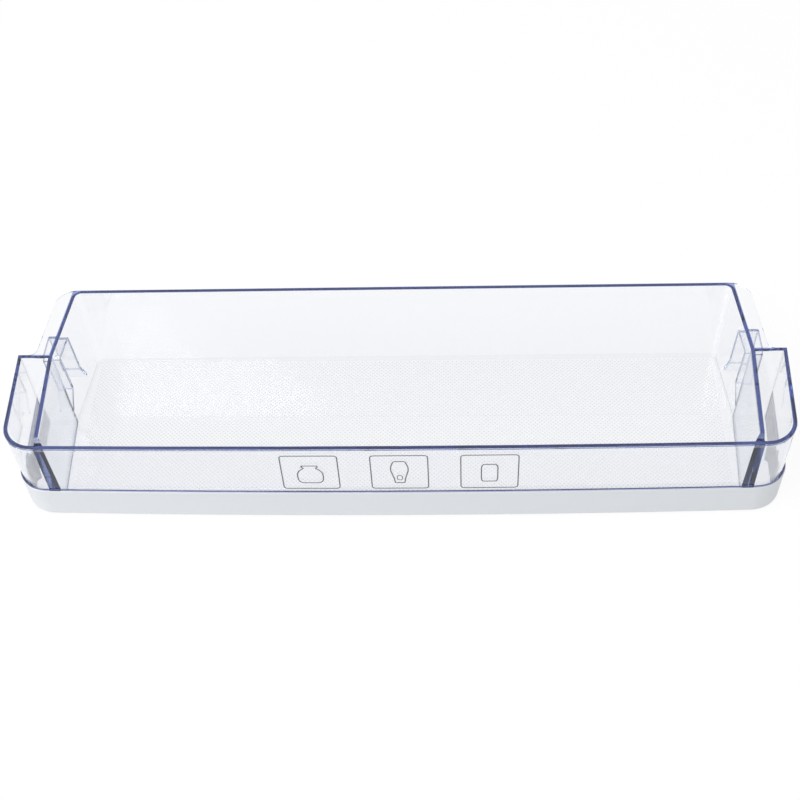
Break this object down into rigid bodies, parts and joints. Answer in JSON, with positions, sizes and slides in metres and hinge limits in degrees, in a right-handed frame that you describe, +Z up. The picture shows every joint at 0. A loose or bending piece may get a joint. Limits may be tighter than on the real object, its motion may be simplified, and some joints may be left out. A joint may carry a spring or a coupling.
{
  "type": "fridge door shelf",
  "caption": "Clear moulded fridge door shelf with a pocket at each front end, side flanges, hook channels for the door's bosses and an opaque trim band round its lower front.",
  "frame": {"origin": "middle of the underside: centred across the width and the depth, at the base", "axes": "+X across the door to the right seen from the front, -Y towards the front, +Z up"},
  "size_m": [0.4922, 0.1384, 0.069],
  "materials": {
    "clear_tray": "clear polystyrene with a slight blue tint, polished mould, fine diamond grain on the floor",
    "trim": "opaque light grey satin plastic"
  },
  "bodies": {
    "root": {"tray_body": "clear_tray", "trim_band": "trim"}
  },
  "joints": []
}
